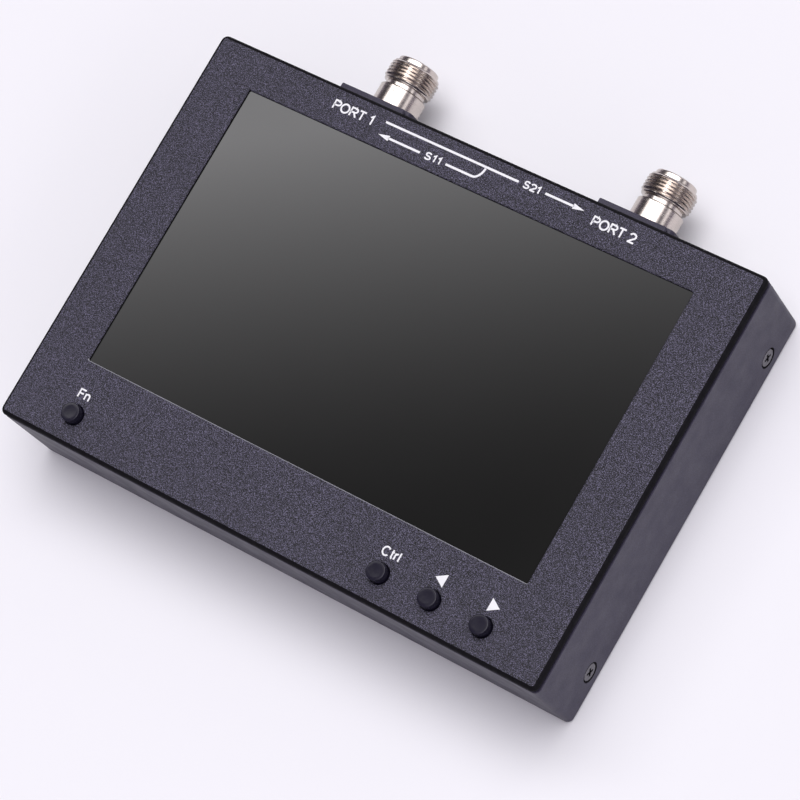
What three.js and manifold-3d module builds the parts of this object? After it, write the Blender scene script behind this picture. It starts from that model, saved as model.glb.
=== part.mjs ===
// Handheld two-port vector network analyzer, lying on its back.
// Millimetres. +Z points out of the screen, +Y towards the two RF ports, +X to the right of the screen.
// Everything is laid out about the middle of the case, with Z = 0 on its back face; the exported group then
// centres the whole outline, ports included, on the origin.
import * as THREE from "three";
import { mergeVertices } from "three/addons/utils/BufferGeometryUtils.js";
import Module from "manifold-3d";

const wasm = await Module();
wasm.setup();

// ---- driving dimensions -------------------------------------------------------------------------------

const FIT = 0.3; // clearance between neighbouring pieces
const OVERRUN = 1; // how far a cutter passes a face
const ROUND_SEGMENTS = 16;
const FINE_SEGMENTS = 24; // on the connector bodies and key caps
const SMALL_SEGMENTS = 12; // on screws and small holes
const CORNER_SEGMENTS = 3;

const CASE = { width: 190, length: 130, depth: 34.5, corner: 2, wall: 2, floor: 2 };
const SEAM = 3.1; // from the front face down to the rim of the tray
const HALF_WIDTH = CASE.width / 2;
const HALF_LENGTH = CASE.length / 2;
const RIM_Z = CASE.depth - SEAM;
const INNER_X = HALF_WIDTH - CASE.wall;
const INNER_Y = HALF_LENGTH - CASE.wall;

const PANEL = { plate: 1.5, edge: 0.6, skirtWall: 1.6, skirtGap: 0.4, skirtDrop: 4.5 };
const PANEL_UNDER = CASE.depth - PANEL.plate;
const WINDOW = { width: 155, length: 92.4, y: 6.4, corner: 0.4, lip: 0.4 };
const GLASS = { width: 164.9, length: 100, thick: 1.1, corner: 2 };
const GLASS_TOP = CASE.depth - WINDOW.lip - FIT;
const LCD = { thick: 4.4, corner: 1, top: GLASS_TOP - GLASS.thick - FIT };

const KEYS = { fn: -72.2, ctrl: 37.5, left: 54.9, right: 72.2 }; // X of each key
const KEY = { y: -55.9, radius: 2.9, proud: 3, edge: 0.35, collar: 4, collarThick: 1, stem: 1.5, stemLong: 2.9 };
const TACT = { side: 6, high: 3.5, bore: 1.8, boreDeep: 2.7, plunger: 1.5, plungerLong: 2.9 };

const PORTS = { port_1: -42.5, port_2: 48 }; // X of each port
const PORT_Z = 16;
const FLANGE = { side: 25.4, thick: 2.1, corner: 2, hole: 9.1 };
const RAIL = { half: 11.25, high: 2, thick: 1.3 };
const BARREL = { radius: 7.35, top: 9.7 };
const NECK = { radius: 6.2, top: 11.2 };
const THREAD = { crest: 7.9, root: 7.3, pitch: 1.058, turns: 6 };
const MOUTH = { radius: 6.5, top: 19.2, bore: 4.05, deep: 9.2, edge: 0.5 };
const TAIL = { radius: 4.8, long: 8, bore: 3.6 };
const CONTACT = { radius: 1.52, below: 5, socket: 0.83, socketDeep: 5, behind: 8.8 };
const BACKING = { side: 24, thick: 2 };

const SIDE_SCREW = { y: 50.4, z: 7, long: 8 };
const M3 = { shank: 1.5, head: 2.75, headHigh: 1.6, hole: 1.8 };
const CROSS = { long: 3, wide: 0.7, deep: 1 };
const LUG = { reach: 8.2, half: 4.5, bottom: 3.2 };

const BOARD = { halfWidth: 90.5, halfLength: 41, thick: 1.6, top: 20.5, corner: 2 };
const POST = { x: 87, y: 32, radius: 3.2, pilotDeep: 6.5 };
const BOARD_SCREW = { shank: 1.25, head: 2.4, headHigh: 1.6, long: 7, hole: 1.6 };
const BRACKET = { width: 168, length: 96, openWidth: 140, openLength: 76, thick: 1, ear: 5 };

const KEY_BOARD = { halfWidth: 80, low: -60.6, high: -46.5, thick: 1.6, top: 23.5, screwX: [-40, 10] };
const KEY_POST = 2.6;
const KEY_SCREW = { shank: 1, head: 2, headHigh: 1.2, long: 6.5, hole: 1.4 };

const SHIELDS = {
  shield_port_1: { x: PORTS.port_1, y: 23, width: 34, length: 30 },
  shield_port_2: { x: PORTS.port_2, y: 23, width: 34, length: 30 },
  shield_source: { x: 3, y: -12, width: 42, length: 26 },
};
const SHIELD = { high: 3, corner: 1 };
const COAX = { radius: 1.1, endY: 39.5, endZ: 16.9, steps: 10, sides: 8 };
const BATTERY = { width: 110, length: 62, high: 9, x: -10, y: -22, corner: 2 };
const STRAP = { width: 18, thick: 1, foot: 6 };
const FLEX = { width: 24, thick: 0.3, bend: 3, y: -18, tail: 10 };

const SIDE_Z = 17; // height of the fittings on the left wall
const USB = { y: 12, width: 8.94, high: 3.2, deep: 7.3, skin: 0.35, tongueWide: 6.7, tongueThick: 0.7 };
const SWITCH = { y: -12, long: 9, deep: 4, high: 3.2, travel: 2 };
const SLIDER = { long: 2.4, thick: 1.5 };
const FINGER_RECESS = { long: 10, high: 5, deep: 1 };
const LED = { y: 24, radius: 1, long: 3.6 };

// ---- finishes -----------------------------------------------------------------------------------------

const FINISH = {
  panel: [0x4c4a52, 0.75, 0.1],
  housing: [0x55535c, 0.55, 0.2],
  glass: [0x3a3b39, 0.12, 0],
  key: [0x2b2a30, 0.6, 0],
  nickel: [0xd8d2c8, 0.2, 1],
  screw: [0x1c1b20, 0.4, 0.6],
  gold: [0xd0a648, 0.25, 1],
  white: [0xf0efec, 0.5, 0],
  steel: [0xb4b4b6, 0.35, 0.9],
  board: [0x16402c, 0.55, 0],
  battery: [0x34506e, 0.6, 0],
  black: [0x18181a, 0.6, 0],
  clear: [0xe6f0ea, 0.2, 0],
};

// ---- solids -------------------------------------------------------------------------------------------

function solid(geometry) {
  const plain = geometry.index ? geometry.toNonIndexed() : geometry.clone();
  plain.deleteAttribute("normal");
  plain.deleteAttribute("uv");
  const merged = mergeVertices(plain, 1e-4);
  return new wasm.Manifold(
    new wasm.Mesh({
      numProp: 3,
      vertProperties: merged.attributes.position.array,
      triVerts: new Uint32Array(merged.index.array),
    }),
  );
}

function geometryOf(manifold) {
  const mesh = manifold.getMesh();
  const geometry = new THREE.BufferGeometry();
  geometry.setAttribute("position", new THREE.BufferAttribute(mesh.vertProperties, 3));
  geometry.setIndex(new THREE.BufferAttribute(mesh.triVerts, 1));
  return geometry.toNonIndexed();
}

const join = (first, ...rest) => rest.reduce((sum, next) => sum.add(next), first);
const cut = (first, ...rest) => rest.reduce((left, next) => left.subtract(next), first);

// A box from its lowest corner to its highest.
function block([x0, y0, z0], [x1, y1, z1]) {
  const box = new THREE.BoxGeometry(x1 - x0, y1 - y0, z1 - z0);
  return solid(box.translate((x0 + x1) / 2, (y0 + y1) / 2, (z0 + z1) / 2));
}

function roundedRectangle(Type, width, length, radius, x, y) {
  const path = new Type();
  const right = x + width / 2;
  const left = x - width / 2;
  const top = y + length / 2;
  const bottom = y - length / 2;
  path.moveTo(right, bottom + radius);
  path.absarc(right - radius, top - radius, radius, 0, Math.PI / 2);
  path.absarc(left + radius, top - radius, radius, Math.PI / 2, Math.PI);
  path.absarc(left + radius, bottom + radius, radius, Math.PI, 1.5 * Math.PI);
  path.absarc(right - radius, bottom + radius, radius, 1.5 * Math.PI, 2 * Math.PI);
  return path;
}

// An upright slab with rounded corners, centred on (x, y), from z0 to z1.
function slab(width, length, radius, z0, z1, x = 0, y = 0) {
  const outline = roundedRectangle(THREE.Shape, width, length, radius, x, y);
  const options = { depth: z1 - z0, bevelEnabled: false, curveSegments: CORNER_SEGMENTS };
  return solid(new THREE.ExtrudeGeometry(outline, options).translate(0, 0, z0));
}

// A solid of revolution about +Y from [radius, height] points, starting and ending on the axis.
function turned(points, segments = ROUND_SEGMENTS) {
  const profile = points.map(([radius, height]) => new THREE.Vector2(radius, height));
  return solid(new THREE.LatheGeometry(profile, segments));
}

const rod = (radius, from, to, segments) =>
  turned([[0, from], [radius, from], [radius, to], [0, to]], segments);

// Turned pieces are made about +Y. These stand them on another axis and put them in place.
const upright = (piece, x, y, z) => piece.rotate([90, 0, 0]).translate([x, y, z]);
const facingY = (piece, x, y, z) => piece.translate([x, y, z]);
const facingX = (piece, side, x, y, z) => piece.rotate([0, 0, -90 * side]).translate([x, y, z]);

// ---- the pieces ---------------------------------------------------------------------------------------

const SIDES = [-1, 1];
const wallScrews = SIDES.flatMap((side) => SIDES.map((end) => ({ side, y: end * SIDE_SCREW.y })));
const posts = SIDES.flatMap((side) => SIDES.map((end) => ({ x: side * POST.x, y: end * POST.y })));
const flangeHoles = SIDES.flatMap((side) => SIDES.map((up) => [side * FLANGE.hole, up * FLANGE.hole]));

function frontPanel() {
  const outline = roundedRectangle(THREE.Shape, CASE.width, CASE.length, CASE.corner, 0, 0);
  const plate = new THREE.ExtrudeGeometry(outline, {
    depth: PANEL.plate - 2 * PANEL.edge,
    bevelThickness: PANEL.edge,
    bevelSize: PANEL.edge,
    bevelOffset: -PANEL.edge,
    bevelSegments: 2,
    curveSegments: CORNER_SEGMENTS,
  }).translate(0, 0, PANEL_UNDER + PANEL.edge);

  const skirtX = 2 * (INNER_X - PANEL.skirtGap);
  const skirtY = 2 * (INNER_Y - PANEL.skirtGap);
  const skirtLow = PANEL_UNDER - PANEL.skirtDrop;
  const thick = 2 * PANEL.skirtWall;
  const skirt = cut(
    slab(skirtX, skirtY, 2, skirtLow, PANEL_UNDER + PANEL.edge),
    slab(skirtX - thick, skirtY - thick, 1, skirtLow - OVERRUN, PANEL_UNDER + PANEL.plate),
  );

  const lugs = wallScrews.map(({ side, y }) => {
    const outer = side * (INNER_X - FIT);
    const inner = outer - side * LUG.reach;
    const low = [Math.min(outer, inner), y - LUG.half, LUG.bottom];
    return block(low, [Math.max(outer, inner), y + LUG.half, PANEL_UNDER + PANEL.edge]);
  });
  const lugPilots = wallScrews.map(({ side, y }) =>
    facingX(rod(M3.hole, -LUG.reach, OVERRUN), side, side * INNER_X, y, SIDE_SCREW.z),
  );

  const boardPosts = posts.map(({ x, y }) => {
    const long = PANEL_UNDER + PANEL.edge - BOARD.top - FIT;
    return upright(rod(POST.radius, 0, long), x, y, BOARD.top + FIT);
  });
  const boardPilots = posts.map(({ x, y }) =>
    upright(rod(BOARD_SCREW.hole, -OVERRUN, POST.pilotDeep), x, y, BOARD.top + FIT),
  );
  const keyPosts = KEY_BOARD.screwX.map((x) => {
    const long = PANEL_UNDER + PANEL.edge - KEY_BOARD.top - FIT;
    return upright(rod(KEY_POST, 0, long), x, KEY.y, KEY_BOARD.top + FIT);
  });
  const keyPilots = KEY_BOARD.screwX.map((x) =>
    upright(rod(KEY_SCREW.hole, -OVERRUN, KEY_SCREW.long), x, KEY.y, KEY_BOARD.top + FIT),
  );

  const window = slab(
    WINDOW.width, WINDOW.length, WINDOW.corner,
    PANEL_UNDER - OVERRUN, CASE.depth + OVERRUN, 0, WINDOW.y,
  );
  const glassPocket = slab(
    GLASS.width + 2 * FIT, GLASS.length + 2 * FIT, GLASS.corner + FIT,
    PANEL_UNDER - OVERRUN, CASE.depth - WINDOW.lip, 0, WINDOW.y,
  );
  const keyHoles = Object.values(KEYS).map((x) =>
    upright(rod(KEY.radius + FIT, -OVERRUN, PANEL.plate + OVERRUN, FINE_SEGMENTS), x, KEY.y, PANEL_UNDER),
  );
  const whole = join(solid(plate), skirt, ...lugs, ...boardPosts, ...keyPosts);
  return cut(whole, window, glassPocket, ...keyHoles, ...lugPilots, ...boardPilots, ...keyPilots);
}

function rearHousing() {
  const outer = slab(CASE.width, CASE.length, CASE.corner, 0, RIM_Z);
  const inner = slab(2 * INNER_X, 2 * INNER_Y, CASE.corner - CASE.wall / 2, CASE.floor, RIM_Z + OVERRUN);
  const portXs = Object.values(PORTS);
  const rails = portXs.map((x) =>
    block(
      [x - RAIL.half, INNER_Y + CASE.wall / 2, RIM_Z - FIT - RAIL.thick],
      [x + RAIL.half, HALF_LENGTH + RAIL.high, RIM_Z - FIT],
    ),
  );
  const portHoles = portXs.map((x) =>
    facingY(rod(TAIL.radius + FIT, -OVERRUN, CASE.wall + OVERRUN), x, INNER_Y, PORT_Z),
  );
  const flangeScrewHoles = portXs.flatMap((x) =>
    flangeHoles.map(([dx, dz]) =>
      facingY(rod(M3.hole, -OVERRUN, CASE.wall + OVERRUN, SMALL_SEGMENTS), x + dx, INNER_Y, PORT_Z + dz),
    ),
  );
  const countersinks = wallScrews.map(({ side, y }) =>
    facingX(countersink(CASE.wall), side, side * HALF_WIDTH, y, SIDE_SCREW.z),
  );
  const reach = SWITCH.travel / 2 + SLIDER.long / 2 + FIT;
  const sliderSlot = block(
    [-HALF_WIDTH - OVERRUN, SWITCH.y - reach, SIDE_Z - SLIDER.thick / 2 - FIT],
    [-INNER_X + OVERRUN, SWITCH.y + reach, SIDE_Z + SLIDER.thick / 2 + FIT],
  );
  const recess = block(
    [-HALF_WIDTH - OVERRUN, SWITCH.y - FINGER_RECESS.long / 2, SIDE_Z - FINGER_RECESS.high / 2],
    [-HALF_WIDTH + FINGER_RECESS.deep, SWITCH.y + FINGER_RECESS.long / 2, SIDE_Z + FINGER_RECESS.high / 2],
  );
  const usbSlot = stadium(USB.width + 2 * FIT, USB.high + 2 * FIT, -HALF_WIDTH - OVERRUN, -INNER_X + OVERRUN);
  const ledHole = facingX(rod(LED.radius + FIT, -CASE.wall - OVERRUN, OVERRUN), -1, -HALF_WIDTH, LED.y, SIDE_Z);
  return cut(
    join(outer, ...rails),
    inner, ...portHoles, ...flangeScrewHoles, ...countersinks, sliderSlot, recess, usbSlot, ledHole,
  );
}

// The hole for a countersunk M3 screw: mouth at height 0, running down through a wall.
function countersink(wall) {
  const wide = M3.head + FIT;
  return turned([
    [0, -wall - OVERRUN],
    [M3.hole, -wall - OVERRUN],
    [M3.hole, -M3.headHigh - FIT],
    [wide, -FIT],
    [wide, OVERRUN],
    [0, OVERRUN],
  ], SMALL_SEGMENTS);
}

// A countersunk screw about +Y: head face at height 0, with a cross recess.
function countersunkScrew(long) {
  const body = turned(
    [[0, -long], [M3.shank, -long], [M3.shank, -M3.headHigh], [M3.head, -FIT], [M3.head, 0], [0, 0]],
    SMALL_SEGMENTS,
  );
  const arms = [
    block([-CROSS.long / 2, -CROSS.deep, -CROSS.wide / 2], [CROSS.long / 2, OVERRUN, CROSS.wide / 2]),
    block([-CROSS.wide / 2, -CROSS.deep, -CROSS.long / 2], [CROSS.wide / 2, OVERRUN, CROSS.long / 2]),
  ];
  return cut(body, ...arms);
}

// A pan-head screw about +Y: shank up, head below height 0.
function boardScrew({ shank, head, headHigh, long }) {
  return turned(
    [[0, -headHigh], [head, -headHigh], [head, 0], [shank, 0], [shank, long], [0, long]],
    SMALL_SEGMENTS,
  );
}

// A stadium prism along X, at the height of the left-wall fittings.
function stadium(wide, high, x0, x1, y = USB.y) {
  const shape = new THREE.Shape();
  const radius = high / 2;
  const straight = wide / 2 - radius;
  shape.absarc(straight, 0, radius, -Math.PI / 2, Math.PI / 2);
  shape.absarc(-straight, 0, radius, Math.PI / 2, 1.5 * Math.PI);
  const options = { depth: x1 - x0, bevelEnabled: false, curveSegments: 8 };
  const prism = solid(new THREE.ExtrudeGeometry(shape, options));
  return prism.rotate([90, 0, 90]).translate([x0, y, SIDE_Z]);
}

function connectorBody() {
  const threadLow = NECK.top;
  const points = [
    [0, -TAIL.long],
    [TAIL.radius, -TAIL.long],
    [TAIL.radius, FIT],
    [BARREL.radius, FIT],
    [BARREL.radius, BARREL.top],
    [NECK.radius, BARREL.top],
    [NECK.radius, threadLow],
  ];
  for (let turn = 0; turn < THREAD.turns; turn++) {
    const low = threadLow + turn * THREAD.pitch;
    points.push([THREAD.root, low], [THREAD.crest, low + THREAD.pitch / 2]);
  }
  const threadTop = threadLow + THREAD.turns * THREAD.pitch;
  points.push(
    [THREAD.root, threadTop],
    [MOUTH.radius, threadTop],
    [MOUTH.radius, MOUTH.top - MOUTH.edge],
    [MOUTH.radius - MOUTH.edge, MOUTH.top],
    [0, MOUTH.top],
  );
  const plate = slab(FLANGE.side, FLANGE.side, FLANGE.corner, 0, FLANGE.thick)
    .rotate([-90, 0, 0])
    .translate([0, FIT, 0]);
  const flangeTop = FIT + FLANGE.thick;
  const screwHoles = flangeHoles.map(([x, z]) => countersink(flangeTop).translate([x, flangeTop, z]));
  return {
    body: cut(
      join(turned(points, FINE_SEGMENTS), plate),
      rod(MOUTH.bore, MOUTH.top - MOUTH.deep, MOUTH.top + OVERRUN, FINE_SEGMENTS),
      rod(TAIL.bore, -TAIL.long - OVERRUN, MOUTH.top),
      ...screwHoles,
    ),
    flangeTop,
  };
}

function insulator() {
  const top = MOUTH.top - MOUTH.deep - FIT;
  return cut(
    rod(TAIL.bore - FIT, -TAIL.long + FIT, top),
    rod(CONTACT.radius + FIT, -TAIL.long - OVERRUN, top + OVERRUN),
  );
}

function contact() {
  const tip = MOUTH.top - CONTACT.below;
  return cut(
    rod(CONTACT.radius, -CONTACT.behind, tip),
    rod(CONTACT.socket, tip - CONTACT.socketDeep, tip + OVERRUN, SMALL_SEGMENTS),
  );
}

function backingPlate() {
  const plate = block(
    [-BACKING.side / 2, -BACKING.thick, -BACKING.side / 2],
    [BACKING.side / 2, 0, BACKING.side / 2],
  );
  const holes = flangeHoles.map(([x, z]) =>
    rod(M3.hole, -BACKING.thick - OVERRUN, OVERRUN, SMALL_SEGMENTS).translate([x, 0, z]),
  );
  return cut(plate, rod(TAIL.radius + FIT, -BACKING.thick - OVERRUN, OVERRUN), ...holes);
}

// The jumper leaves the back of the contact and drops gently to the board's level.
function coax(x) {
  const startY = HALF_LENGTH - CONTACT.behind - FIT;
  const middleY = (startY + COAX.endY) / 2;
  const path = new THREE.CatmullRomCurve3([
    new THREE.Vector3(x, startY, PORT_Z),
    new THREE.Vector3(x, (startY + middleY) / 2, PORT_Z),
    new THREE.Vector3(x, middleY, (PORT_Z + COAX.endZ) / 2),
    new THREE.Vector3(x, (middleY + COAX.endY) / 2, COAX.endZ),
    new THREE.Vector3(x, COAX.endY, COAX.endZ),
  ]);
  const section = new THREE.Shape();
  for (let side = 0; side < COAX.sides; side++) {
    const angle = (side / COAX.sides) * 2 * Math.PI;
    const move = side === 0 ? "moveTo" : "lineTo";
    section[move](COAX.radius * Math.cos(angle), COAX.radius * Math.sin(angle));
  }
  return solid(new THREE.ExtrudeGeometry(section, { steps: COAX.steps, extrudePath: path }));
}

function keyCap() {
  const collarTop = -FIT;
  const collarLow = collarTop - KEY.collarThick;
  const top = PANEL.plate + KEY.proud;
  return turned([
    [0, collarLow - KEY.stemLong],
    [KEY.stem, collarLow - KEY.stemLong],
    [KEY.stem, collarLow],
    [KEY.collar, collarLow],
    [KEY.collar, collarTop],
    [KEY.radius, collarTop],
    [KEY.radius, top - KEY.edge],
    [KEY.radius - KEY.edge, top],
    [0, top],
  ], FINE_SEGMENTS);
}

function tactSwitch() {
  const half = TACT.side / 2;
  return cut(
    block([-half, 0, -half], [half, TACT.high, half]),
    rod(TACT.bore, TACT.high - TACT.boreDeep, TACT.high + OVERRUN),
  );
}

function lcdModule() {
  return slab(GLASS.width, GLASS.length, LCD.corner, LCD.top - LCD.thick, LCD.top, 0, WINDOW.y);
}

function displayBracket() {
  const top = LCD.top - LCD.thick - FIT;
  const low = top - BRACKET.thick;
  const frame = slab(BRACKET.width, BRACKET.length, 2, low, top, 0, WINDOW.y);
  const ears = posts.map(({ x, y }) => {
    const out = Math.sign(x) * (POST.x + BRACKET.ear - 1);
    const inward = (Math.sign(x) * BRACKET.width) / 2 - Math.sign(x) * 2;
    return block(
      [Math.min(out, inward), y - BRACKET.ear, low],
      [Math.max(out, inward), y + BRACKET.ear, top],
    );
  });
  const opening = slab(
    BRACKET.openWidth, BRACKET.openLength, 2, low - OVERRUN, top + OVERRUN, 0, WINDOW.y,
  );
  const postHoles = posts.map(({ x, y }) =>
    upright(rod(POST.radius + FIT, -OVERRUN, BRACKET.thick + OVERRUN), x, y, low),
  );
  return cut(join(frame, ...ears), opening, ...postHoles);
}

function mainBoard() {
  const low = BOARD.top - BOARD.thick;
  const sheet = slab(2 * BOARD.halfWidth, 2 * BOARD.halfLength, BOARD.corner, low, BOARD.top);
  const holes = posts.map(({ x, y }) =>
    upright(rod(BOARD_SCREW.hole, -OVERRUN, BOARD.thick + OVERRUN, SMALL_SEGMENTS), x, y, low),
  );
  return cut(sheet, ...holes);
}

function keyBoard() {
  const low = KEY_BOARD.top - KEY_BOARD.thick;
  const sheet = block(
    [-KEY_BOARD.halfWidth, KEY_BOARD.low, low],
    [KEY_BOARD.halfWidth, KEY_BOARD.high, KEY_BOARD.top],
  );
  const holes = KEY_BOARD.screwX.map((x) =>
    upright(rod(KEY_SCREW.hole, -OVERRUN, KEY_BOARD.thick + OVERRUN, SMALL_SEGMENTS), x, KEY.y, low),
  );
  return cut(sheet, ...holes);
}

// A deep-drawn can, open towards the board above it.
function shieldCan({ x, y, width, length }) {
  const top = BOARD.top - BOARD.thick - FIT;
  const low = top - SHIELD.high;
  const skin = 2 * FIT;
  return cut(
    slab(width, length, SHIELD.corner, low, top, x, y),
    slab(width - skin, length - skin, SHIELD.corner - FIT, low + FIT, top + OVERRUN, x, y),
  );
}

function batteryPack() {
  const low = CASE.floor + FIT;
  return slab(BATTERY.width, BATTERY.length, BATTERY.corner, low, low + BATTERY.high, BATTERY.x, BATTERY.y);
}

// A strap over the battery with a foot on the floor at each end.
function batteryBracket() {
  const low = CASE.floor + FIT;
  const under = low + BATTERY.high + FIT;
  const halfSpan = BATTERY.length / 2 + FIT;
  const x0 = BATTERY.x - STRAP.width / 2;
  const x1 = BATTERY.x + STRAP.width / 2;
  const outer = halfSpan + STRAP.thick;
  const bridge = block([x0, BATTERY.y - outer, under], [x1, BATTERY.y + outer, under + STRAP.thick]);
  const legs = SIDES.map((end) => {
    const near = BATTERY.y + end * halfSpan;
    const far = BATTERY.y + end * outer;
    return block([x0, Math.min(near, far), low], [x1, Math.max(near, far), under + STRAP.thick]);
  });
  const feet = SIDES.map((end) => {
    const near = BATTERY.y + end * halfSpan;
    const far = near + end * STRAP.foot;
    return block([x0, Math.min(near, far), low], [x1, Math.max(near, far), low + STRAP.thick]);
  });
  return join(bridge, ...legs, ...feet);
}

// The ribbon folds back on itself between the screen and the board.
function displayFlex() {
  const outer = FLEX.bend;
  const inner = FLEX.bend - FLEX.thick;
  const shape = new THREE.Shape();
  shape.moveTo(FLEX.tail, outer);
  shape.lineTo(0, outer);
  shape.absarc(0, 0, outer, Math.PI / 2, 1.5 * Math.PI);
  shape.lineTo(FLEX.tail, -outer);
  shape.lineTo(FLEX.tail, -inner);
  shape.absarc(0, 0, inner, 1.5 * Math.PI, Math.PI / 2, true);
  shape.lineTo(FLEX.tail, inner);
  const options = { depth: FLEX.width, bevelEnabled: false, curveSegments: 8 };
  const strip = solid(new THREE.ExtrudeGeometry(shape, options));
  return strip.rotate([90, 0, 90]).translate([-FLEX.width / 2, FLEX.y, BOARD.top + 2 * FIT + outer]);
}

function usbReceptacle() {
  const mouth = -HALF_WIDTH + FIT;
  const shell = stadium(USB.width, USB.high, mouth, mouth + USB.deep);
  const skin = 2 * USB.skin;
  const hollow = stadium(USB.width - skin, USB.high - skin, mouth - OVERRUN, mouth + USB.deep - OVERRUN);
  const tongue = block(
    [mouth + OVERRUN, USB.y - USB.tongueWide / 2, SIDE_Z - USB.tongueThick / 2],
    [mouth + USB.deep - USB.skin, USB.y + USB.tongueWide / 2, SIDE_Z + USB.tongueThick / 2],
  );
  return join(cut(shell, hollow), tongue);
}

function powerSwitchBody() {
  const front = -INNER_X + FIT;
  const reach = SWITCH.travel / 2 + SLIDER.long / 2 + FIT;
  return cut(
    block(
      [front, SWITCH.y - SWITCH.long / 2, SIDE_Z - SWITCH.high / 2],
      [front + SWITCH.deep, SWITCH.y + SWITCH.long / 2, SIDE_Z + SWITCH.high / 2],
    ),
    block(
      [front - OVERRUN, SWITCH.y - reach, SIDE_Z - SLIDER.thick / 2 - FIT],
      [front + SWITCH.deep / 2, SWITCH.y + reach, SIDE_Z + SLIDER.thick / 2 + FIT],
    ),
  );
}

// The slider rests at the low end of its slot.
function powerSwitchSlider() {
  const middle = SWITCH.y - SWITCH.travel / 2;
  return block(
    [-HALF_WIDTH + FIT / 2, middle - SLIDER.long / 2, SIDE_Z - SLIDER.thick / 2],
    [-INNER_X + SWITCH.deep / 2, middle + SLIDER.long / 2, SIDE_Z + SLIDER.thick / 2],
  );
}

// ---- the assembly -------------------------------------------------------------------------------------

const group = new THREE.Group();
group.position.y = -MOUTH.top / 2;

function place(name, manifold, finish) {
  const [color, roughness, metalness] = FINISH[finish];
  const material = new THREE.MeshStandardMaterial({ color, roughness, metalness });
  const mesh = new THREE.Mesh(geometryOf(manifold), material);
  mesh.name = name;
  group.add(mesh);
}

place("rear_housing", rearHousing(), "housing");
place("front_panel", frontPanel(), "panel");
place(
  "touch_glass",
  slab(GLASS.width, GLASS.length, GLASS.corner, GLASS_TOP - GLASS.thick, GLASS_TOP, 0, WINDOW.y),
  "glass",
);
place("lcd_module", lcdModule(), "black");
place("display_bracket", displayBracket(), "steel");
place("display_flex", displayFlex(), "gold");
place("main_board", mainBoard(), "board");
place("key_board", keyBoard(), "board");
place("battery_pack", batteryPack(), "battery");
place("battery_bracket", batteryBracket(), "steel");
for (const [name, size] of Object.entries(SHIELDS)) place(name, shieldCan(size), "steel");

for (const [key, x] of Object.entries(KEYS)) {
  const boardTop = KEY_BOARD.top + FIT;
  const stemLow = PANEL_UNDER - FIT - KEY.collarThick - KEY.stemLong;
  place(`button_${key}`, upright(keyCap(), x, KEY.y, PANEL_UNDER), "key");
  place(`tact_switch_${key}`, upright(tactSwitch(), x, KEY.y, boardTop), "black");
  const plunger = rod(TACT.plunger, 0, TACT.plungerLong);
  place(`plunger_${key}`, upright(plunger, x, KEY.y, stemLow - FIT - TACT.plungerLong), "white");
}

for (const [port, x] of Object.entries(PORTS)) {
  const { body, flangeTop } = connectorBody();
  place(`${port}_connector`, facingY(body, x, HALF_LENGTH, PORT_Z), "nickel");
  place(`${port}_insulator`, facingY(insulator(), x, HALF_LENGTH, PORT_Z), "white");
  place(`${port}_contact`, facingY(contact(), x, HALF_LENGTH, PORT_Z), "gold");
  place(`${port}_backing_plate`, facingY(backingPlate(), x, INNER_Y - FIT, PORT_Z), "steel");
  place(`${port}_coax`, coax(x), "steel");
  flangeHoles.forEach(([dx, dz], index) => {
    const screw = countersunkScrew(SIDE_SCREW.long);
    const head = HALF_LENGTH + flangeTop - FIT / 3;
    place(`${port}_screw_${index + 1}`, facingY(screw, x + dx, head, PORT_Z + dz), "screw");
  });
}

wallScrews.forEach(({ side, y }, index) => {
  const screw = countersunkScrew(SIDE_SCREW.long);
  const head = side * (HALF_WIDTH - FIT / 3);
  place(`side_screw_${index + 1}`, facingX(screw, side, head, y, SIDE_SCREW.z), "screw");
});
posts.forEach(({ x, y }, index) => {
  const under = BOARD.top - BOARD.thick - FIT;
  place(`board_screw_${index + 1}`, upright(boardScrew(BOARD_SCREW), x, y, under), "steel");
});
KEY_BOARD.screwX.forEach((x, index) => {
  const under = KEY_BOARD.top - KEY_BOARD.thick - FIT;
  place(`key_board_screw_${index + 1}`, upright(boardScrew(KEY_SCREW), x, KEY.y, under), "steel");
});

place("usb_c_receptacle", usbReceptacle(), "steel");
place("power_switch_body", powerSwitchBody(), "black");
place("power_switch_slider", powerSwitchSlider(), "black");
const ledPipe = rod(LED.radius, -LED.long, 0, SMALL_SEGMENTS);
place("charge_led_pipe", facingX(ledPipe, -1, -HALF_WIDTH + FIT, LED.y, SIDE_Z), "clear");

export default group;
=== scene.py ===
"""Looks of a handheld two-port network analyzer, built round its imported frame.

The object lies on its back on a pale studio floor. +X is to the right of the screen, +Y points from
the keys to the two RF ports and +Z out of the screen. Shapes are built in millimetres, in the row
frame, and become metres when their mesh is made.
"""

import math

import bmesh
import bpy
from mathutils import Matrix, Vector


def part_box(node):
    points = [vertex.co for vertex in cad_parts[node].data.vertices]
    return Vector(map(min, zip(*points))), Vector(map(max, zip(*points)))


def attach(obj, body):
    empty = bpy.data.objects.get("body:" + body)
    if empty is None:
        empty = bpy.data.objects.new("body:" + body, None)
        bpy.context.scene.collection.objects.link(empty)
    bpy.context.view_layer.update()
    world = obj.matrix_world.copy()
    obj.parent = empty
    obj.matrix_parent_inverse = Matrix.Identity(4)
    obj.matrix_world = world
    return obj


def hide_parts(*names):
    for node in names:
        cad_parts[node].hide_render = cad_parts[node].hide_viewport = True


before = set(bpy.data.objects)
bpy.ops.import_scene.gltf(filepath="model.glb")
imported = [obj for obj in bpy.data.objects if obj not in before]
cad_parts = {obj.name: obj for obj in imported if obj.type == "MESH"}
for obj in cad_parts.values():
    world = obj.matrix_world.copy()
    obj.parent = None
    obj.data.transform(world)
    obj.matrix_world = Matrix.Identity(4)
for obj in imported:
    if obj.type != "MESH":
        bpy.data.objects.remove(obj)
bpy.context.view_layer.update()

MM = 0.001
GAP = 0.3
SIDES = (-1, 1)
KEYS = ("fn", "ctrl", "left", "right")
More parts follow.
